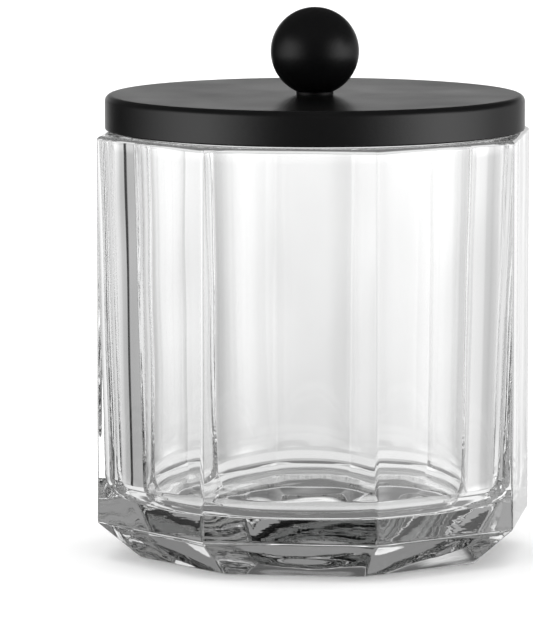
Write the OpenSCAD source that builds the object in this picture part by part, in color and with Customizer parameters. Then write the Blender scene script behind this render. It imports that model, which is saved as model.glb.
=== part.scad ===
// Apothecary jar: an eight-sided jar of thick pressed glass with a round bore, and a loose round
// lid with a ball knob. The lid's skirt hides a short neck, which the lid's liner and seal sit on.
// The origin is the centre of the foot's underside, +Z is up, and flats face +X and -X.

/* [Overall] */
// Width over all, which is the lid's diameter
overall_w = 95; // [75:1:140]
// Height from the foot to the top of the knob
overall_h = 124; // [90:1:200]
// Number of flat sides
sides = 8; // [6:2:12]

/* [Jar outside] */
// Radius on the upright edges between the flats
side_edge_r = 1.5; // [0.5:0.1:2.5]
// Radius where each flat turns into the shoulder
shoulder_edge_r = 1.2; // [0.4:0.1:1.6]
// Height of the chamfer round the base
chamfer_h = 8.3; // [4:0.1:11]
// How far the chamfer comes in at the foot, square to a flat
chamfer_in = 9.3; // [4:0.1:13]
// Width of the flat foot ring, at the middle of a side
foot_ring_w = 5; // [3:0.5:12]
// Depth of the round recess under the base, at its edge
recess_h = 0.8; // [0.3:0.1:2]
// How much the recess domes up from its edge to its middle
dome_h = 1.5; // [0.5:0.1:3]

/* [Bore and neck] */
// Thickness of the base, from the foot to the edge of the bore's floor
base_t = 12.8; // [10:0.1:20]
// How far the floor of the bore dips towards its middle
floor_dip_h = 1; // [0.3:0.1:2]
// Radius between the floor and the wall of the bore
floor_fillet_r = 4.5; // [1:0.5:8]
// Taper of the bore, in degrees from upright
bore_draft = 2; // [0.5:0.1:3.5]
// Height of the neck above the shoulder
neck_h = 5.3; // [5:0.1:9]
// How far the neck steps in from the flats
neck_in = 1.9; // [1.6:0.1:5]
// Thickness of the rim at the mouth
rim_t = 3.2; // [2.2:0.1:6]
// Radius on the two edges of the rim
rim_edge_r = 0.8; // [0.2:0.1:1]

/* [Lid cap] */
// Thickness of the cap's sheet metal
sheet_t = 0.8; // [0.5:0.1:1.2]
// How far the cap stands out past the jar's flats
cap_overhang = 0.4; // [0:0.1:3]
// Radius of the cap's rolled top edge, outside
cap_edge_r = 1.5; // [1.3:0.1:3]
// Gap between the cap's skirt and the shoulder
skirt_gap = 0.5; // [0.3:0.1:1.5]

/* [Liner and seal] */
// Thickness of the liner's disc
liner_t = 1.2; // [0.8:0.1:2.5]
// Wall thickness of the liner's locating ring
ring_t = 1.5; // [1:0.1:2.5]
// How far the locating ring reaches below the disc
ring_h = 4.4; // [3:0.1:5]
// Thickness of the seal
seal_t = 1; // [0.6:0.1:2]

/* [Knob and fixings] */
// Diameter of the ball
knob_d = 20; // [15:0.5:32]
// Diameter of the knob's short neck
knob_neck_d = 8.4; // [7:0.1:12]
// Height of the neck that shows under the ball
knob_neck_h = 0.6; // [0.3:0.1:5]
// Diameter of the screw's thread
screw_d = 4; // [3:0.5:5]
// Length of thread inside the knob
thread_l = 8; // [5:0.5:10]
// Diameter of the screw's head
head_d = 8; // [7:0.1:10]
// Height of the screw's head
head_h = 2.6; // [2:0.1:3]
// Diameter of the flat washer
flat_washer_d = 12; // [10:0.5:16]
// Thickness of the flat washer
flat_washer_t = 1; // [0.5:0.1:1.5]
// Diameter of the lock washer
lock_washer_d = 7.6; // [7:0.1:9]
// Thickness of the lock washer
lock_washer_t = 0.9; // [0.6:0.1:1.2]

/* [Hidden] */
$fn = 128;

// Clearances between pieces that fit or pass each other
plug_clear = 0.6;      // locating ring to the jar's mouth
seal_clear = 0.2;      // seal to the locating ring
turn_clear = 0.1;      // liner's disc to the seal that it turns on
liner_clear = 0.2;     // liner's edge to the curve inside the cap
screw_clear = 0.25;    // screw to the holes that it passes through
thread_clear = 0.05;   // screw to the plain hole that stands for the knob's thread
hole_spare = 1;        // depth of the knob's hole past the end of the screw
cut_over = 1;          // how far a cutter runs past the face that it cuts
dip_edge_w = 0.2;      // least width of the flat ring between the dip in the bore's floor and its fillet
dip_over = 0.05;       // how far above the floor the dip's cutter ends, so that it leaves no sliver

// Heights of the stack, from the top down
knob_r = knob_d / 2;
knob_neck_r = knob_neck_d / 2;
ball_sit = sqrt(knob_r * knob_r - knob_neck_r * knob_neck_r);   // ball's centre above its own neck
ball_z = overall_h - knob_r;
cap_top_z = ball_z - ball_sit - knob_neck_h;
cap_under_z = cap_top_z - sheet_t;
disc_under_z = cap_under_z - liner_t;
seal_top_z = disc_under_z - turn_clear;
rim_z = seal_top_z - seal_t;
shoulder_z = rim_z - neck_h;
skirt_z = shoulder_z + skirt_gap;
lock_top_z = disc_under_z - flat_washer_t;
head_top_z = lock_top_z - lock_washer_t;

// Radii, from the outside in
cap_r = overall_w / 2;
flat_r = cap_r - cap_overhang;
skirt_in_r = cap_r - sheet_t;
cap_inner_edge_r = cap_edge_r - sheet_t;
neck_r = flat_r - neck_in;
mouth_r = neck_r - rim_t;
liner_r = skirt_in_r - cap_inner_edge_r - liner_clear;
ring_r = mouth_r - plug_clear;
mouth_edge_r = min(rim_edge_r, rim_t / 3);
foot_r = flat_r - chamfer_in;
screw_r = screw_d / 2;
recess_r = foot_r - foot_ring_w;

function side_turn(i) = (i + 0.5) * 360 / sides;            // direction of upright edge i
function bore_r(z) = mouth_r - (rim_z - z) * tan(bore_draft);
function on_circle(r, a) = [r * cos(a), r * sin(a)];

// Half-outline of a round block from z = 0 up to h, with its outer top edge rounded
module round_top(r, h, edge_r) {
    square([r - edge_r, h]);
    square([r, h - edge_r]);
    translate([r - edge_r, h - edge_r]) circle(edge_r, $fn = 48);
}

// Half-outline of a flat ring from z = 0 up to h
module ring_outline(in_r, out_r, h) {
    translate([in_r, 0]) square([out_r - in_r, h]);
}

// Outline of the jar seen from above: straight flats with a tangent arc at each upright edge
module jar_outline() {
    edge_centre_r = (flat_r - side_edge_r) / cos(180 / sides);
    half_turn = 180 / sides;
    polygon([for (i = [0 : sides - 1], s = [-1, 1])
        on_circle(edge_centre_r, side_turn(i)) + on_circle(side_edge_r, side_turn(i) + s * half_turn)]);
    for (i = [0 : sides - 1])
        rotate(side_turn(i)) translate([edge_centre_r, 0]) circle(side_edge_r, $fn = 48);
}

// Wedges that cut the chamfer round the base
module chamfer_cutter() {
    slope = atan2(chamfer_h, chamfer_in);
    for (i = [0 : sides - 1])
        rotate(i * 360 / sides)
            translate([foot_r, 0, 0]) rotate([0, -slope, 0]) translate([-flat_r, -flat_r, -flat_r])
                cube([3 * flat_r, 2 * flat_r, flat_r]);
}

// Bars with a hollow quarter-round side, which round the shoulder's edge
module shoulder_cutter() {
    for (i = [0 : sides - 1])
        rotate(i * 360 / sides)
            translate([flat_r - shoulder_edge_r, flat_r, shoulder_z - shoulder_edge_r]) rotate([90, 0, 0])
                linear_extrude(2 * flat_r) difference() {
                    square(shoulder_edge_r + cut_over);
                    circle(shoulder_edge_r, $fn = 48);
                }
}

// A round block of radius r from below z = 0 up to edge_h at its edge, with a top that bulges by bulge_h
module bulging_cutter(r, edge_h, bulge_h) {
    ball_r = (r * r + bulge_h * bulge_h) / (2 * bulge_h);
    intersection() {
        translate([0, 0, -cut_over]) cylinder(r = r, h = edge_h + bulge_h + cut_over);
        translate([0, 0, edge_h + bulge_h - ball_r]) sphere(ball_r);
    }
}

// Half-outline of the space inside: a tapered bore with a filleted floor and a rounded mouth
module bore_outline() {
    centre_z = base_t + floor_fillet_r;
    centre_r = bore_r(centre_z) - floor_fillet_r / cos(bore_draft);
    wall_end = [centre_r, centre_z] + on_circle(floor_fillet_r, -bore_draft);
    top_z = rim_z + cut_over;
    polygon([[0, base_t], [centre_r, base_t], wall_end, [bore_r(top_z), top_z], [0, top_z]]);
    translate([centre_r, centre_z]) circle(floor_fillet_r);
    translate([mouth_r, rim_z - mouth_edge_r]) difference() {
        square([mouth_edge_r, mouth_edge_r + cut_over]);
        translate([mouth_edge_r, 0]) circle(mouth_edge_r, $fn = 48);
    }
}

module jar() {
    color([0.85, 0.9, 0.9, 0.35]) difference() {
        union() {
            linear_extrude(shoulder_z) jar_outline();
            rotate_extrude() round_top(neck_r, rim_z, mouth_edge_r);
        }
        chamfer_cutter();
        shoulder_cutter();
        rotate_extrude() bore_outline();
        bulging_cutter(recess_r, recess_h, dome_h);
        translate([0, 0, base_t]) mirror([0, 0, 1])
            bulging_cutter(bore_r(base_t) - floor_fillet_r - dip_edge_w, -dip_over, floor_dip_h + dip_over);
    }
}

module seal_ring() {
    color("whitesmoke") translate([0, 0, rim_z])
        rotate_extrude() ring_outline(ring_r + seal_clear, neck_r, seal_t);
}

module lid_cap() {
    lip_r = sheet_t / 2;
    color([0.1, 0.1, 0.1]) difference() {
        translate([0, 0, skirt_z]) rotate_extrude() {
            difference() {
                round_top(cap_r, cap_top_z - skirt_z, cap_edge_r);
                round_top(skirt_in_r, cap_under_z - skirt_z, cap_inner_edge_r);
                square([cap_r + cut_over, lip_r]);
            }
            translate([cap_r - lip_r, lip_r]) circle(lip_r, $fn = 48);
        }
        cylinder(r = screw_r + screw_clear, h = overall_h);
    }
}

module lid_liner() {
    color("white") translate([0, 0, disc_under_z - ring_h]) rotate_extrude() {
        ring_outline(ring_r - ring_t, ring_r, ring_h);
        translate([0, ring_h]) ring_outline(screw_r + screw_clear, liner_r, liner_t);
    }
}

module flat_washer() {
    color("silver") translate([0, 0, lock_top_z])
        rotate_extrude() ring_outline(screw_r + screw_clear, flat_washer_d / 2, flat_washer_t);
}

// A ring with one slanting cut through it
module lock_washer() {
    split_w = 0.6;
    split_slant = 25;
    color("gray") translate([0, 0, head_top_z]) difference() {
        rotate_extrude() ring_outline(screw_r + screw_clear, lock_washer_d / 2, lock_washer_t);
        translate([0, 0, lock_washer_t / 2]) rotate([split_slant, 0, 0])
            translate([0, -split_w / 2, -lock_washer_d]) cube([lock_washer_d, split_w, 2 * lock_washer_d]);
    }
}

// A pan-head screw, head down, with a cross-shaped recess
module knob_screw() {
    head_edge_r = head_h / 3;
    cross_h = head_h * 0.6;
    cross_l = head_d * 0.6;
    cross_w = head_d * 0.14;
    inside_head = head_h / 4;
    color("silver") {
        difference() {
            translate([0, 0, head_top_z]) mirror([0, 0, 1])
                rotate_extrude() round_top(head_d / 2, head_h, head_edge_r);
            for (turn = [0, 90])
                rotate(turn) translate([-cross_l / 2, -cross_w / 2, head_top_z - head_h - cut_over])
                    cube([cross_l, cross_w, cross_h + cut_over]);
        }
        translate([0, 0, head_top_z - inside_head])
            cylinder(r = screw_r - thread_clear, h = cap_top_z + thread_l - head_top_z + inside_head);
    }
}

module knob() {
    color([0.1, 0.1, 0.1]) difference() {
        union() {
            translate([0, 0, ball_z]) sphere(knob_r);
            translate([0, 0, cap_top_z]) cylinder(r = knob_neck_r, h = ball_z - cap_top_z);
        }
        translate([0, 0, cap_top_z - cut_over])
            cylinder(r = screw_r, h = thread_l + hole_spare + cut_over);
    }
}

jar();
seal_ring();
lid_cap();
lid_liner();
flat_washer();
lock_washer();
knob_screw();
knob();
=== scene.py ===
"""Looks of an apothecary jar: a thick octagonal glass jar and a satin black lid with a ball knob."""

import math

import bpy
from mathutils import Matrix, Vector, noise


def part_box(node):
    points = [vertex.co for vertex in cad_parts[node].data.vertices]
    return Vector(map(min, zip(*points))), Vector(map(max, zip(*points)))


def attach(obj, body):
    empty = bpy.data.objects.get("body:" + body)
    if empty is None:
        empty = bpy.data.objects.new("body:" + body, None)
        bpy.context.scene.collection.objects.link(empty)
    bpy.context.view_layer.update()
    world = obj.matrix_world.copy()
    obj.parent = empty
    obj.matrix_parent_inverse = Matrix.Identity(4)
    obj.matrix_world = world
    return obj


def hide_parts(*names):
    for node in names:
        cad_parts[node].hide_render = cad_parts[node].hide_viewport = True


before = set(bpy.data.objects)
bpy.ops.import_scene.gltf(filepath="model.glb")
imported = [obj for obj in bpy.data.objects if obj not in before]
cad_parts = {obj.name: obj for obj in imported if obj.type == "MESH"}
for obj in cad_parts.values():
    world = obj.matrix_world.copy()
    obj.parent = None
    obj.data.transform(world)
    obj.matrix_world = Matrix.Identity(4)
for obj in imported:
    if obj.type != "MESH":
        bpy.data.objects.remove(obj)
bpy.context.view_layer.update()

MM = 0.001

# ---------------------------------------------------------------- sizes, in millimetres

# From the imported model's boxes
JAR_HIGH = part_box("jar")[1] / MM
CAP_LOW, CAP_HIGH = (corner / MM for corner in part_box("lid_cap"))
SEAL_LOW, SEAL_HIGH = (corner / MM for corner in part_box("seal_ring"))
LINER_LOW, LINER_HIGH = (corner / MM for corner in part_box("lid_liner"))
KNOB_LOW, KNOB_HIGH = (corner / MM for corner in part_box("knob"))
FLAT_WASHER_LOW, FLAT_WASHER_HIGH = (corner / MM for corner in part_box("flat_washer"))
LOCK_WASHER_LOW, LOCK_WASHER_HIGH = (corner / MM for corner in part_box("lock_washer"))
SCREW_LOW, SCREW_HIGH = (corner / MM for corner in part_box("knob_screw"))

# The jar, as part.scad has it
SIDES = 8
NECK_H = 5.3
NECK_IN = 1.9
RIM_T = 3.2
BASE_T = 12.8
BORE_DRAFT = math.radians(2)
FLOOR_FILLET_R = 4.5
CHAMFER_H = 8.3
CHAMFER_IN = 9.3
FOOT_RING_W = 5.0
RECESS_H = 0.8
DOME_H = 1.5
SIDE_EDGE_R = 1.5
SHOULDER_EDGE_R = 1.2
RIM_EDGE_R = 0.8
FLAT_R = JAR_HIGH.x
RIM_Z = JAR_HIGH.z
SHOULDER_Z = RIM_Z - NECK_H
NECK_R = FLAT_R - NECK_IN
MOUTH_R = NECK_R - RIM_T
FLOOR_R = MOUTH_R - (RIM_Z - BASE_T) * math.tan(BORE_DRAFT)
FOOT_R = FLAT_R - CHAMFER_IN
RECESS_R = FOOT_R - FOOT_RING_W
DOME_R = RECESS_R - 0.6

# Small edges of the jar that part.scad leaves sharp
NECK_FILLET_R = 0.4
CHAMFER_EDGE_R = 1.0
FOOT_EDGE_R = 0.8
RECESS_LIP_R = 0.25
RECESS_EDGE_R = 0.5

# The dip in the floor of the bore: a broad dish, and a small hollow in its middle
DISH_R, DISH_H = 34.0, 0.6
HOLLOW_R, HOLLOW_H = 14.0, 0.4

# Shallow waves in the glass: how long and how deep they are, and where in the noise they start
BORE_WAVE, BORE_SEED = 16.0, 20
WALL_WAVE, WALL_SEED = 13.0, 7.3
BASE_WAVE, BASE_SEED = 9.0, 40
LONG_WAVE = 22.0
WALL_DEPTH = 0.16
BASE_DEPTH = 0.15

# The lid and its fixings
CAP_R = CAP_HIGH.x
SHEET_T = 0.8
CAP_EDGE_R = 1.5
HOLE_EDGE_R = 0.1
SCREW_R = 2.0
SCREW_CLEAR = 0.25
SCREW_HOLE_R = SCREW_R + SCREW_CLEAR
KNOB_R = 10.0
KNOB_NECK_R = 4.2
THREAD_L = 8.0
HOLE_SPARE = 1.0
THREAD_CLEAR = 0.05
THREAD_PITCH = 0.7
THREAD_DEPTH = 0.55 * THREAD_PITCH
THREAD_RUN_IN = 0.6
PLAIN_SHANK_L = 0.4
TIP_L = 0.6
TIP_SLOPE = 0.8
RING_T = 1.5
RING_EDGE_R = 0.5
DISC_EDGE_R = 0.25
PLUG_CLEAR = 0.6
SEAL_CLEAR = 0.2
SEAL_EDGE_R = 0.25
WASHER_EDGE_R = 0.12
SPLIT_W = 0.6
SPLIT_SLANT = math.radians(25)
CROSS_ARM_L = 4.8
CROSS_ARM_W = 1.1
CROSS_H = 1.5


# ---------------------------------------------------------------- outlines

def rounded(corners, steps=8):
    """Points along an outline of (r, z, radius) corners, each corner turned into an arc of its radius."""
    points = []
    for i, (r, z, radius) in enumerate(corners):
        here = Vector((r, z))
        if radius == 0:
            points.append(here)
            continue
        before = Vector(corners[i - 1][:2]) - here
        after = Vector(corners[(i + 1) % len(corners)][:2]) - here
        before.normalize()
        after.normalize()
        half = before.angle(after) / 2
        centre = here + (before + after).normalized() * radius / math.sin(half)
        start = here + before * radius / math.tan(half) - centre
        end = here + after * radius / math.tan(half) - centre
        turn = start.angle_signed(end)
        for k in range(steps + 1):
            a = -turn * k / steps
            points.append(centre + Vector((start.x * math.cos(a) - start.y * math.sin(a),
                                           start.x * math.sin(a) + start.y * math.cos(a))))
    return points


def supported(points, longest, edge=0.25, closed=False):
    """The same outline in steps no longer than the given one, with a short step at either end of a side."""
    result = []
    count = len(points) if closed else len(points) - 1
    for i in range(count):
        a, b = points[i], points[(i + 1) % len(points)]
        length = (b - a).length
        result.append(a)
        if length > 3 * edge:
            inner = max(1, math.ceil((length - 2 * edge) / longest))
            for k in range(inner + 1):
                result.append(a.lerp(b, (edge + (length - 2 * edge) * k / inner) / length))
    if not closed:
        result.append(points[-1])
    return result


# ---------------------------------------------------------------- meshes

def mesh_object(name, points, faces, material):
    """A smooth-shaded object from points in millimetres."""
    mesh = bpy.data.meshes.new(name)
    mesh.from_pydata([Vector(p) * MM for p in points], [], faces)
    mesh.shade_smooth()
    mesh.materials.append(material)
    piece = bpy.data.objects.new(name, mesh)
    bpy.context.scene.collection.objects.link(piece)
    return piece


def ring_faces(rings, columns, closed):
    """Quads between neighbouring rings of points."""
    faces = []
    for i in range(rings if closed else rings - 1):
        low, high = i * columns, ((i + 1) % rings) * columns
        for k in range(columns):
            n = (k + 1) % columns
            faces.append((low + k, low + n, high + n, high + k))
    return faces


def close_ends(points, faces, rings, columns, start, end):
    """A fan of triangles from the start point to the first ring, and one from the end point to the last."""
    first, last = len(points), len(points) + 1
    points += [start, end]
    top = (rings - 1) * columns
    for k in range(columns):
        n = (k + 1) % columns
        faces.append((first, n, k))
        faces.append((last, top + k, top + n))


def turned(name, outline, material, closed=True, columns=192):
    """A round piece: the outline of (r, z) points turned about the jar's axis.
    An open outline starts and ends on the axis, where a fan of triangles closes it."""
    body = outline if closed else outline[1:-1]
    points = []
    for r, z in body:
        for k in range(columns):
            a = 2 * math.pi * k / columns
            points.append((r * math.cos(a), r * math.sin(a), z))
    faces = ring_faces(len(body), columns, closed)
    if not closed:
        close_ends(points, faces, len(body), columns, (0, 0, outline[0].y), (0, 0, outline[-1].y))
    return mesh_object(name, points, faces, material)


# ---------------------------------------------------------------- the jar

HALF_SIDE = math.pi / SIDES


def column_angles(arc_steps=8, flat_steps=36):
    """Polar angles of the jar's columns: close together round each upright edge, wider on the flats."""
    centre_r = (FLAT_R - SIDE_EDGE_R) / math.cos(HALF_SIDE)
    tangent = math.atan2(SIDE_EDGE_R * math.sin(HALF_SIDE),
                         centre_r + SIDE_EDGE_R * math.cos(HALF_SIDE))
    angles = []
    for side in range(SIDES):
        edge_a = (side + 0.5) * 2 * HALF_SIDE
        for k in range(arc_steps):
            normal_a = HALF_SIDE * (2 * k / arc_steps - 1)
            angles.append(edge_a + math.atan2(SIDE_EDGE_R * math.sin(normal_a),
                                              centre_r + SIDE_EDGE_R * math.cos(normal_a)))
        for k in range(flat_steps):
            angles.append(edge_a + tangent + (2 * HALF_SIDE - 2 * tangent) * k / flat_steps)
    return angles


def side_distance(flat_r, a):
    """How far the rounded octagon with that distance to its flats reaches at polar angle a."""
    off_flat = (a + HALF_SIDE) % (2 * HALF_SIDE) - HALF_SIDE
    off_edge = HALF_SIDE - abs(off_flat)
    edge_r = min(SIDE_EDGE_R, flat_r / 2)
    centre_r = (flat_r - edge_r) / math.cos(HALF_SIDE)
    tangent = math.atan2(edge_r * math.sin(HALF_SIDE), centre_r + edge_r * math.cos(HALF_SIDE))
    if off_edge >= tangent:
        return flat_r / math.cos(off_flat)
    across = centre_r * math.sin(off_edge)
    return centre_r * math.cos(off_edge) + math.sqrt(edge_r ** 2 - across ** 2)


def outline_normals(outline):
    """Unit normals of the outline, pointing out of the glass."""
    normals = []
    for i in range(len(outline)):
        along = outline[min(i + 1, len(outline) - 1)] - outline[max(i - 1, 0)]
        normals.append(Vector((along.y, -along.x)).normalized())
    return normals


def waviness(point, r, z):
    """Depth in millimetres of the shallow waves that pressing leaves in the glass at that point."""
    x, y = point
    if z > SHOULDER_Z - 1:
        return 0
    if r < FLOOR_R + 6 and z > BASE_T + FLOOR_FILLET_R:
        spot = Vector((x / BORE_WAVE, y / BORE_WAVE, z / LONG_WAVE + BORE_SEED))
        return WALL_DEPTH * (0.5 + 0.5 * noise.noise(spot))
    if z > CHAMFER_H:
        spot = Vector((x / WALL_WAVE, y / WALL_WAVE, z / LONG_WAVE + WALL_SEED))
        return WALL_DEPTH * (0.5 + 0.5 * noise.noise(spot))
    spot = Vector((x / BASE_WAVE, y / BASE_WAVE, z / BASE_WAVE + BASE_SEED))
    return BASE_DEPTH * (0.5 + 0.5 * noise.noise(spot))


def floor_dip(r):
    """How far the bore's floor lies below its edge: a broad dish with a small hollow in its middle."""
    dish = DISH_H * (1 + math.cos(math.pi * min(1, r / DISH_R))) / 2
    hollow = HOLLOW_H * (1 + math.cos(math.pi * min(1, r / HOLLOW_R))) / 2
    return dish + hollow


def make_jar(material):
    """The whole jar as one skin: up the outside from the recess, over the rim and down the bore."""
    outline = supported(rounded([
        (0, RECESS_H, 0),
        (RECESS_R, RECESS_H, RECESS_EDGE_R),
        (RECESS_R, 0, RECESS_LIP_R),
        (FOOT_R, 0, FOOT_EDGE_R),
        (FLAT_R, CHAMFER_H, CHAMFER_EDGE_R),
        (FLAT_R, SHOULDER_Z, SHOULDER_EDGE_R),
        (NECK_R, SHOULDER_Z, NECK_FILLET_R),
        (NECK_R, RIM_Z, RIM_EDGE_R),
        (MOUTH_R, RIM_Z, RIM_EDGE_R),
        (FLOOR_R, BASE_T, FLOOR_FILLET_R),
        (0, BASE_T, 0),
    ]), longest=1.6)
    for point in outline:
        if point.y < DOME_H and point.x < DOME_R:
            point.y = RECESS_H + DOME_H * (1 - (point.x / DOME_R) ** 2)
        if abs(point.y - BASE_T) < 0.01:
            point.y -= floor_dip(point.x)
    normals = outline_normals(outline)
    foot_in, foot_out = RECESS_R + 1, FOOT_R - 1
    shoulder_in, shoulder_out = NECK_R + 0.45, FLAT_R - SHOULDER_EDGE_R
    angles = column_angles()
    points = []
    for (r, z), normal in zip(outline[1:-1], normals[1:-1]):
        # How far this ring has gone from a circle, at 0, to the octagon, at 1
        if z < 0.01:
            octagon = min(1, max(0, (r - foot_in) / (foot_out - foot_in)))
        elif r > shoulder_in and z < SHOULDER_Z + 0.01:
            on_top = z > SHOULDER_Z - 0.001
            octagon = min(1, (r - shoulder_in) / (shoulder_out - shoulder_in)) if on_top else 1
        else:
            octagon = 1 if z < BASE_T - 0.01 and r > foot_out - 1 else 0
        for a in angles:
            reach = r + octagon * (side_distance(r, a) - r)
            depth = waviness((reach * math.cos(a), reach * math.sin(a)), r, z)
            reach -= depth * normal.x
            points.append((reach * math.cos(a), reach * math.sin(a), z - depth * normal.y))
    columns = len(angles)
    rings = len(outline) - 2
    faces = ring_faces(rings, columns, closed=False)
    dome_z = RECESS_H + DOME_H
    close_ends(points, faces, rings, columns,
               (0, 0, dome_z + waviness((0, 0), 0, dome_z)),
               (0, 0, BASE_T - floor_dip(0) - waviness((0, 0), 0, BASE_T)))
    return mesh_object("glass_jar", points, faces, material)


# ---------------------------------------------------------------- the lid

def make_cap(material):
    """A pressed cap with a rolled top edge, a short skirt and a hole for the screw."""
    lip_r = SHEET_T / 2 - 0.01
    under_z = CAP_HIGH.z - SHEET_T
    outline = rounded([
        (SCREW_HOLE_R, CAP_HIGH.z, HOLE_EDGE_R),
        (CAP_R, CAP_HIGH.z, CAP_EDGE_R),
        (CAP_R, CAP_LOW.z, lip_r),
        (CAP_R - SHEET_T, CAP_LOW.z, lip_r),
        (CAP_R - SHEET_T, under_z, CAP_EDGE_R - SHEET_T),
        (SCREW_HOLE_R, under_z, HOLE_EDGE_R),
    ])
    fine = supported(outline, longest=4, edge=0.15, closed=True)
    return turned("satin_lid_cap", fine, material, columns=256)


def make_knob(material):
    """A ball on a short neck, with a blind hole for the screw."""
    sit = math.sqrt(KNOB_R ** 2 - KNOB_NECK_R ** 2)
    ball_z = KNOB_HIGH.z - KNOB_R
    meeting = -math.asin(sit / KNOB_R)
    steps = 80
    ball = []
    for k in range(steps):
        a = math.pi / 2 + (meeting - math.pi / 2) * k / steps
        ball.append(Vector((KNOB_R * math.cos(a), ball_z + KNOB_R * math.sin(a))))
    ball[0].x = 0
    neck = rounded([
        (KNOB_NECK_R, ball_z - sit, 0),
        (KNOB_NECK_R, KNOB_LOW.z, 0.15),
        (SCREW_R, KNOB_LOW.z, 0.3),
        (SCREW_R, KNOB_LOW.z + THREAD_L + HOLE_SPARE, 0.2),
        (0, KNOB_LOW.z + THREAD_L + HOLE_SPARE, 0),
    ])
    fine = ball + supported(neck, longest=1.5, edge=0.1)
    return turned("ball_knob", fine, material, closed=False, columns=160)


def make_liner(material):
    """A moulded disc with a locating ring that drops into the jar's mouth."""
    disc_z = SEAL_HIGH.z
    ring_r = MOUTH_R - PLUG_CLEAR
    outline = rounded([
        (SCREW_HOLE_R, LINER_HIGH.z, HOLE_EDGE_R),
        (LINER_HIGH.x, LINER_HIGH.z, DISC_EDGE_R),
        (LINER_HIGH.x, disc_z, DISC_EDGE_R),
        (ring_r, disc_z, HOLE_EDGE_R),
        (ring_r, LINER_LOW.z, RING_EDGE_R),
        (ring_r - RING_T, LINER_LOW.z, RING_EDGE_R),
        (ring_r - RING_T, disc_z, 0.4),
        (SCREW_HOLE_R, disc_z, HOLE_EDGE_R),
    ])
    return turned("moulded_liner", supported(outline, longest=3, edge=0.15, closed=True), material)


def make_ring(name, low, high, hole_r, edge_r, material):
    """A flat ring that fills its node's box, with rounded edges."""
    outline = rounded([
        (hole_r, high.z, edge_r),
        (high.x, high.z, edge_r),
        (high.x, low.z, edge_r),
        (hole_r, low.z, edge_r),
    ], steps=5)
    return turned(name, supported(outline, longest=2, edge=0.1, closed=True), material)


def make_lock_washer(material):
    """A ring of near-square section that stops short of a whole turn, with slanting ends."""
    outline = supported(rounded([
        (SCREW_HOLE_R, LOCK_WASHER_HIGH.z, WASHER_EDGE_R),
        (LOCK_WASHER_HIGH.x, LOCK_WASHER_HIGH.z, WASHER_EDGE_R),
        (LOCK_WASHER_HIGH.x, LOCK_WASHER_LOW.z, WASHER_EDGE_R),
        (SCREW_HOLE_R, LOCK_WASHER_LOW.z, WASHER_EDGE_R),
    ], steps=4), longest=0.5, edge=0.08, closed=True)
    mid_z = (LOCK_WASHER_LOW.z + LOCK_WASHER_HIGH.z) / 2
    slant = math.tan(SPLIT_SLANT)
    steps = 96
    points = []
    for k in range(steps + 1):
        share = k / steps
        for r, z in outline:
            gap = SPLIT_W / 2 / r
            lean = (z - mid_z) * slant / r * (1 - 2 * min(share, 1 - share)) ** 8
            a = gap + (2 * math.pi - 2 * gap) * share - lean
            points.append((r * math.cos(a), r * math.sin(a), z))
    count = len(outline)
    faces = []
    for k in range(steps):
        for i in range(count):
            n = (i + 1) % count
            here, there = k * count, (k + 1) * count
            faces.append((here + i, here + n, there + n, there + i))
    faces.append(tuple(reversed(range(count))))
    faces.append(tuple(steps * count + i for i in range(count)))
    return mesh_object("split_lock_washer", points, faces, material)


def make_screw(material):
    """A pan-head screw, head down: a cross recess in the head and a rolled thread on the shank."""
    head_r = SCREW_HIGH.x
    head_top = LOCK_WASHER_LOW.z
    thread_start = head_top + PLAIN_SHANK_L
    shank_r = SCREW_R - THREAD_CLEAR
    columns = 96
    head = rounded([
        (0, SCREW_LOW.z, 0),
        (head_r, SCREW_LOW.z, (head_top - SCREW_LOW.z) * 0.4),
        (head_r, head_top, 0.15),
        (shank_r, head_top, 0.1),
        (shank_r, thread_start, 0),
    ])
    outline = supported(head, longest=0.3, edge=0.08)[1:]
    tip_z = SCREW_HIGH.z
    rows = 120
    points = []
    for r, z in outline:
        for k in range(columns):
            a = 2 * math.pi * k / columns
            points.append((r * math.cos(a), r * math.sin(a), z + recess_lift(r, a, z)))
    for row in range(1, rows + 1):
        z = thread_start + (tip_z - thread_start) * row / rows
        for k in range(columns):
            a = 2 * math.pi * k / columns
            turn = ((z - thread_start) / THREAD_PITCH - k / columns) % 1
            depth = THREAD_DEPTH * (1 - abs(2 * turn - 1))
            fade = min(1, (z - thread_start) / THREAD_RUN_IN)
            point_in = max(0, z - tip_z + TIP_L) * TIP_SLOPE
            r = shank_r - depth * fade - point_in
            points.append((r * math.cos(a), r * math.sin(a), z))
    rings = len(outline) + rows
    faces = ring_faces(rings, columns, closed=False)
    close_ends(points, faces, rings, columns,
               (0, 0, SCREW_LOW.z + recess_lift(0, 0, SCREW_LOW.z)), (0, 0, tip_z))
    return mesh_object("cross_head_screw", points, faces, material)


def recess_lift(r, a, z):
    """How far the screw's cross recess goes up into the head at that place."""
    if z > SCREW_LOW.z + 0.6:
        return 0
    x, y = abs(r * math.cos(a)), abs(r * math.sin(a))
    along, across = max(x, y), min(x, y)
    arm = min(1, max(0, (CROSS_ARM_W / 2 + 0.15 - across) / 0.3))
    reach = min(1, max(0, (CROSS_ARM_L / 2 - along) / 0.9))
    return CROSS_H * arm * reach


# ---------------------------------------------------------------- materials

def new_material(name):
    """A material with its node tree, Principled shader and an object-space texture coordinate."""
    material = bpy.data.materials.new(name)
    material.use_nodes = True
    nodes = material.node_tree.nodes
    shader = nodes["Principled BSDF"]
    coords = nodes.new("ShaderNodeTexCoord")
    return material, nodes, material.node_tree.links, shader, coords.outputs["Object"]


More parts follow.
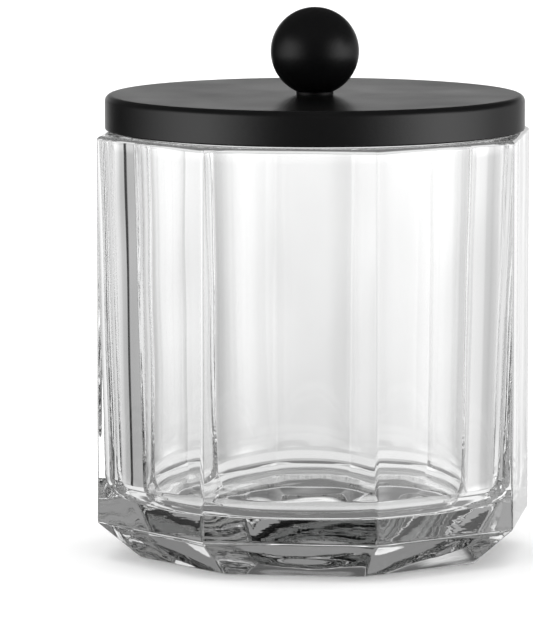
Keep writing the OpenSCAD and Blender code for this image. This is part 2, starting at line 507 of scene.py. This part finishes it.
def add_noise(nodes, links, coords, scale, detail=3.0, stretch=None):
    """Noise at that scale, or stretched along an axis whose share of it is below one."""
    if stretch:
        squeeze = nodes.new("ShaderNodeVectorMath")
        squeeze.operation = "MULTIPLY"
        squeeze.inputs[1].default_value = stretch
        links.new(coords, squeeze.inputs[0])
        coords = squeeze.outputs[0]
    texture = nodes.new("ShaderNodeTexNoise")
    texture.inputs["Scale"].default_value = scale
    texture.inputs["Detail"].default_value = detail
    links.new(coords, texture.inputs["Vector"])
    return texture.outputs["Fac"]


def remap(nodes, links, value, low, high):
    """The value, from about a quarter to three quarters, stretched between two new ones."""
    node = nodes.new("ShaderNodeMapRange")
    node.inputs["From Min"].default_value = 0.25
    node.inputs["From Max"].default_value = 0.75
    node.inputs["To Min"].default_value = low
    node.inputs["To Max"].default_value = high
    links.new(value, node.inputs["Value"])
    return node.outputs["Result"]


def add_bump(nodes, links, shader, height, distance, strength=1.0):
    bump = nodes.new("ShaderNodeBump")
    bump.inputs["Distance"].default_value = distance
    bump.inputs["Strength"].default_value = strength
    links.new(height, bump.inputs["Height"])
    links.new(bump.outputs["Normal"], shader.inputs["Normal"])


def tint(nodes, links, shader, value, dark, light):
    """Base colour that runs between two colours as the value runs from a quarter to three quarters."""
    mix = nodes.new("ShaderNodeMix")
    mix.data_type = "RGBA"
    mix.inputs["A"].default_value = (*dark, 1)
    mix.inputs["B"].default_value = (*light, 1)
    links.new(remap(nodes, links, value, 0, 1), mix.inputs["Factor"])
    links.new(mix.outputs["Result"], shader.inputs["Base Color"])


def fade_up(nodes, links, coords, low, high):
    """0 below the lower height and 1 above the upper one, in millimetres."""
    split = nodes.new("ShaderNodeSeparateXYZ")
    links.new(coords, split.inputs[0])
    node = nodes.new("ShaderNodeMapRange")
    node.interpolation_type = "SMOOTHSTEP"
    node.inputs["From Min"].default_value = low * MM
    node.inputs["From Max"].default_value = high * MM
    links.new(split.outputs["Z"], node.inputs["Value"])
    return node.outputs["Result"]


GLASS_LINES = 300
GLASS_WRINKLES = 500
GLASS_BUMP = 0.000012
BASE_BLEND = (10, 16)


def clear_glass():
    """Pressed glass: fine upright draw lines in the walls, and flow wrinkles that lie flat in the base."""
    material, nodes, links, shader, coords = new_material("clear_pressed_glass")
    shader.inputs["Transmission Weight"].default_value = 1.0
    shader.inputs["IOR"].default_value = 1.5
    shader.inputs["Roughness"].default_value = 0.0
    lines = add_noise(nodes, links, coords, GLASS_LINES, 1, (1, 1, 0.03))
    wrinkles = add_noise(nodes, links, coords, GLASS_WRINKLES, 3, (0.12, 0.12, 1))
    height = nodes.new("ShaderNodeMix")
    height.data_type = "FLOAT"
    links.new(fade_up(nodes, links, coords, *BASE_BLEND), height.inputs["Factor"])
    links.new(wrinkles, height.inputs["A"])
    links.new(lines, height.inputs["B"])
    tint(nodes, links, shader, lines, (0.994, 0.996, 0.995), (0.998, 0.999, 0.999))
    add_bump(nodes, links, shader, height.outputs["Result"], GLASS_BUMP)
    return material


def satin_black(name, fineness, gloss):
    """Black paint with a soft sheen and a fine grain."""
    material, nodes, links, shader, coords = new_material(name)
    shader.inputs["Specular IOR Level"].default_value = gloss
    broad = add_noise(nodes, links, coords, 60 * fineness, 4)
    grain = add_noise(nodes, links, coords, 2200, 2, (0.35, 1, 1))
    tint(nodes, links, shader, broad, (0.0028, 0.0028, 0.003), (0.0045, 0.0045, 0.0048))
    links.new(remap(nodes, links, broad, 0.28, 0.34), shader.inputs["Roughness"])
    add_bump(nodes, links, shader, grain, 0.00003, 0.6)
    return material


def plain_steel(name, dark, light, low, high):
    """Bare or plated metal, mottled between two colours and two roughnesses."""
    material, nodes, links, shader, coords = new_material(name)
    shader.inputs["Metallic"].default_value = 1.0
    mottle = add_noise(nodes, links, coords, 900, 5)
    tint(nodes, links, shader, mottle, dark, light)
    links.new(remap(nodes, links, mottle, low, high), shader.inputs["Roughness"])
    add_bump(nodes, links, shader, mottle, 0.00001)
    return material


def milky_plastic():
    """Moulded plastic that lets no light through, with faint flow marks."""
    material, nodes, links, shader, coords = new_material("milky_polyethylene")
    flow = add_noise(nodes, links, coords, 120, 4)
    grain = add_noise(nodes, links, coords, 3000, 2)
    tint(nodes, links, shader, flow, (0.78, 0.78, 0.755), (0.84, 0.84, 0.825))
    links.new(remap(nodes, links, flow, 0.38, 0.5), shader.inputs["Roughness"])
    add_bump(nodes, links, shader, grain, 0.00002, 0.6)
    return material


def silicone():
    """Soft seal material that lets a little light through."""
    material, nodes, links, shader, coords = new_material("translucent_silicone")
    cloud = add_noise(nodes, links, coords, 200, 4)
    tint(nodes, links, shader, cloud, (0.78, 0.8, 0.79), (0.87, 0.885, 0.875))
    links.new(remap(nodes, links, cloud, 0.3, 0.42), shader.inputs["Roughness"])
    shader.inputs["Transmission Weight"].default_value = 0.25
    shader.inputs["IOR"].default_value = 1.41
    add_bump(nodes, links, shader, cloud, 0.00003)
    return material


# ---------------------------------------------------------------- the pieces

def place(piece, body, node):
    """The piece stands for its CAD node, which it hides, and rides on that node's body."""
    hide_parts(node)
    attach(piece, body)


bright_zinc = plain_steel("bright_zinc_plate", (0.55, 0.56, 0.58), (0.72, 0.73, 0.75), 0.2, 0.34)
oiled_steel = ("oiled_spring_steel", (0.3, 0.3, 0.31), (0.42, 0.42, 0.43), 0.28, 0.42)
seal_hole_r = MOUTH_R - PLUG_CLEAR + SEAL_CLEAR
place(make_jar(clear_glass()), "jar", "jar")
place(make_ring("silicone_seal", SEAL_LOW, SEAL_HIGH, seal_hole_r, SEAL_EDGE_R, silicone()),
      "seal", "seal_ring")
place(make_cap(satin_black("satin_black_cap", 1.0, 0.5)), "lid", "lid_cap")
place(make_knob(satin_black("satin_black_knob", 1.3, 0.28)), "lid", "knob")
place(make_liner(milky_plastic()), "lid", "lid_liner")
place(make_ring("steel_flat_washer", FLAT_WASHER_LOW, FLAT_WASHER_HIGH,
                SCREW_HOLE_R, WASHER_EDGE_R, bright_zinc),
      "lid", "flat_washer")
place(make_lock_washer(plain_steel(*oiled_steel)), "lid", "lock_washer")
place(make_screw(bright_zinc), "lid", "knob_screw")


# ---------------------------------------------------------------- stage, light and camera

# Distances in millimetres: a long lens, a little to the jar's right and looking slightly down
CAMERA_TURN = math.radians(6.8)
CAMERA_AWAY = 1463.6
CAMERA_UP = 225.7
CAMERA_PITCH = math.radians(6.679)
CAMERA_YAW = math.radians(0.428)
CAMERA_LENS = 372.8
FLOOR_HALF = 6000
FLOOR_Z = -0.05


def make_floor():
    """A wide pale table just under the jar, which neither the glass nor the lid shows."""
    corners = [(x * FLOOR_HALF, y * FLOOR_HALF, FLOOR_Z) for x, y in ((-1, -1), (1, -1), (1, 1), (-1, 1))]
    material, _, _, shader, _ = new_material("pale_floor")
    shader.inputs["Base Color"].default_value = (0.93, 0.93, 0.93, 1)
    shader.inputs["Roughness"].default_value = 1.0
    floor = mesh_object("floor", corners, [(0, 1, 2, 3)], material)
    floor.visible_transmission = False
    floor.visible_glossy = False


# Brightness that the glass sees, from steeply down to straight up
TABLE_NEAR = 0.25
TABLE_FAR = 1.1
TABLE_EDGE = 0.7
HORIZON = 1.15
WALL_ABOVE = 0.15
CEILING = 0.35
# What the lid and the faces of the glass mirror from the table, and from the room above the soft boxes
GLOSS_TABLE = 0.05
GLOSS_ROOM = 0.08
# Even light on everything that is matt
SOFT_LIGHT = 1.9
# Grey of the background, which the camera sees raised to white
BACKDROP = 0.8
# What the glass sees near the horizon, by direction in degrees clockwise from straight behind the jar
AROUND_GLASS = [
    (-180, 0.03), (-142, 0.04), (-125, 0.7), (-115, 2.0), (-100, 2.0), (-85, 1.5), (-66, 0.75),
    (-48, 0.7), (-47, 0.0), (-42, 0.0), (-41, 0.75), (-30, 0.82), (-22, 1.1), (-10, 1.28),
    (10, 1.28), (20, 1.1), (30, 0.9), (45, 0.8), (56, 0.95), (62, 1.25), (85, 1.5), (100, 2.2),
    (118, 2.2), (130, 0.7), (145, 0.04), (180, 0.03),
]
# The same for what the lid and the faces of the glass mirror: a soft box on either side of the camera
AROUND_GLOSS = [
    (-180, 0.04), (-160, 0.08), (-148, 0.5), (-132, 1.6), (-118, 2.4), (-104, 2.0), (-88, 1.2),
    (-70, 0.3), (-50, 0.03), (-30, 0.06), (-15, 1.25), (15, 1.25), (30, 0.3), (65, 0.6), (85, 1.8),
    (105, 2.8), (120, 2.4), (135, 1.2), (150, 0.3), (162, 0.06), (180, 0.04),
]


def make_world():
    """A studio without lamps: what a ray finds depends on its direction and on what sent it out."""
    world = bpy.data.worlds.new("studio")
    bpy.context.scene.world = world
    world.use_nodes = True
    world.cycles.sampling_method = "NONE"
    nodes, links = world.node_tree.nodes, world.node_tree.links
    nodes.clear()

    def put(socket, value):
        if isinstance(value, (int, float)):
            socket.default_value = value
        else:
            links.new(value, socket)

    def math_node(operation, a, b=0.0):
        node = nodes.new("ShaderNodeMath")
        node.operation = operation
        put(node.inputs[0], a)
        put(node.inputs[1], b)
        return node.outputs[0]

    def mix(factor, a, b):
        node = nodes.new("ShaderNodeMix")
        node.data_type = "FLOAT"
        put(node.inputs["Factor"], factor)
        put(node.inputs["A"], a)
        put(node.inputs["B"], b)
        return node.outputs["Result"]

    def step(low, high, a, b, along=None):
        """From a to b as a ray climbs from low to high degrees, or leans that far along another axis."""
        node = nodes.new("ShaderNodeMapRange")
        node.interpolation_type = "SMOOTHSTEP"
        node.inputs["From Min"].default_value = math.sin(math.radians(low))
        node.inputs["From Max"].default_value = math.sin(math.radians(high))
        links.new(along or z, node.inputs["Value"])
        return mix(node.outputs["Result"], a, b)

    def ramp(table):
        """The table's brightness in the direction that a ray takes round the jar."""
        node = nodes.new("ShaderNodeValToRGB")
        links.new(share, node.inputs[0])
        elements = node.color_ramp.elements
        brightest = max(value for _, value in table)
        for k, (degrees, value) in enumerate(table):
            spot = degrees / 360 + 0.5
            element = elements[k] if k < 2 else elements.new(spot)
            element.position = spot
            element.color = (value / brightest,) * 3 + (1,)
        return math_node("MULTIPLY", node.outputs["Color"], brightest)

    coords = nodes.new("ShaderNodeTexCoord")
    split = nodes.new("ShaderNodeSeparateXYZ")
    links.new(coords.outputs["Generated"], split.inputs[0])
    x, y, z = split.outputs
    azimuth = math_node("ADD", math_node("ARCTAN2", x, y), CAMERA_TURN)
    share = math_node("FRACT", math_node("ADD", math_node("DIVIDE", azimuth, 2 * math.pi), 0.5))
    # The table lightens towards the backdrop, and the brightness round the jar takes over near the horizon
    below = step(-37, -27, TABLE_NEAR, TABLE_FAR)
    level = math_node("MULTIPLY", ramp(AROUND_GLASS), step(-12, -5.5, TABLE_EDGE, HORIZON))
    glass = step(14, 18, step(2, 8, step(-17, -13, below, level), WALL_ABOVE), CEILING)
    # Soft boxes over a dark table, which reach higher in front of the jar than behind it
    boxes = step(-30, -14, GLOSS_TABLE, ramp(AROUND_GLOSS))
    front = step(12, 35, boxes, GLOSS_ROOM)
    back = step(5, 15, boxes, GLOSS_ROOM)
    gloss = step(-10, 10, front, back, along=y)
    path = nodes.new("ShaderNodeLightPath")
    seen = mix(path.outputs["Is Transmission Ray"], gloss, glass)
    seen = mix(path.outputs["Is Diffuse Ray"], seen, SOFT_LIGHT)
    seen = mix(path.outputs["Is Camera Ray"], seen, 1 / BACKDROP)
    background = nodes.new("ShaderNodeBackground")
    background.inputs["Color"].default_value = (BACKDROP, BACKDROP, BACKDROP, 1)
    links.new(seen, background.inputs["Strength"])
    output = nodes.new("ShaderNodeOutputWorld")
    links.new(background.outputs[0], output.inputs[0])


def make_camera():
    """A long-lens view from the front and from a little above."""
    data = bpy.data.cameras.new("camera")
    data.lens = CAMERA_LENS
    data.sensor_width = 36
    camera = bpy.data.objects.new("camera", data)
    camera.location = (CAMERA_AWAY * math.sin(CAMERA_TURN) * MM,
                       -CAMERA_AWAY * math.cos(CAMERA_TURN) * MM, CAMERA_UP * MM)
    camera.rotation_euler = (math.pi / 2 - CAMERA_PITCH, 0, CAMERA_TURN + CAMERA_YAW)
    bpy.context.scene.collection.objects.link(camera)
    bpy.context.scene.camera = camera


make_floor()
make_world()
make_camera()

scene = bpy.context.scene
scene.view_settings.view_transform = "Standard"
scene.cycles.max_bounces = 32
scene.cycles.transmission_bounces = 32
scene.cycles.glossy_bounces = 16
scene.cycles.diffuse_bounces = 3
scene.cycles.transparent_max_bounces = 16
scene.cycles.blur_glossy = 0.0
